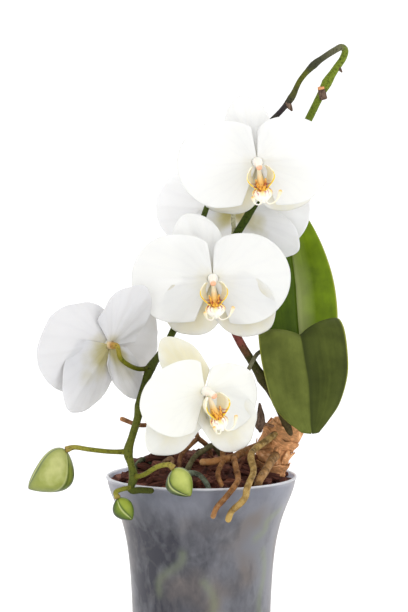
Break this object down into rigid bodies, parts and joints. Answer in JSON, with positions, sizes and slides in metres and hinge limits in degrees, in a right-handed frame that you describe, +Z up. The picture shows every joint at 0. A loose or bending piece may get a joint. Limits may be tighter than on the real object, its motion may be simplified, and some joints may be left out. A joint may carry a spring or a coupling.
{
  "type": "potted orchid",
  "caption": "White moth orchid with an arching flower spike, buds, thick leaves and aerial roots, growing in bark in a frosted plastic pot that stands on its flat base.",
  "frame": {"origin": "centre of the underside of the pot's base, on the surface the pot stands on", "axes": "+Z up; -Y towards the front, where the open blooms look; +X towards the leaves"},
  "size_m": [0.1953, 0.1421, 0.3935],
  "materials": {
    "frosted_plastic": "frosted, translucent",
    "pine_bark": "rough",
    "corky_stem": "rough, dry",
    "leaf_bright": "glossy",
    "leaf_olive": "satin",
    "spike_green": "satin",
    "petal_white": "matt",
    "lip_yellow": "satin",
    "bud_green": "satin",
    "root_tan": "matt",
    "root_olive": "matt",
    "root_silver": "matt",
    "root_brown": "matt",
    "inner_root": "matt",
    "dried_husk": "matt"
  },
  "bodies": {
    "root": {"pot": "frosted_plastic", "bark": "pine_bark", "stem_base": "corky_stem", "leaf_upper": "leaf_bright", "leaf_lower": "leaf_olive", "flower_spike": "spike_green", "dead_bud": "dried_husk", "bloom_1_tepals": "petal_white", "bloom_1_lip": "lip_yellow", "bloom_2_tepals": "petal_white", "bloom_2_lip": "lip_yellow", "bloom_3_tepals": "petal_white", "bloom_3_lip": "lip_yellow", "bloom_4_tepals": "petal_white", "bloom_4_lip": "lip_yellow", "bloom_5_tepals": "petal_white", "bloom_5_lip": "lip_yellow", "bud_1": "bud_green", "bud_2": "bud_green", "bud_3": "bud_green", "inner_root_1": "inner_root", "inner_root_2": "inner_root", "inner_root_3": "inner_root", "inner_root_4": "inner_root", "root_forked": "root_tan", "root_hanging": "root_tan", "root_thick": "root_tan", "root_tan": "root_tan", "root_brown": "root_brown", "root_rambling": "root_brown", "root_olive": "root_olive", "root_aerial": "root_olive", "root_silver": "root_silver", "root_curl": "root_silver"}
  },
  "joints": []
}
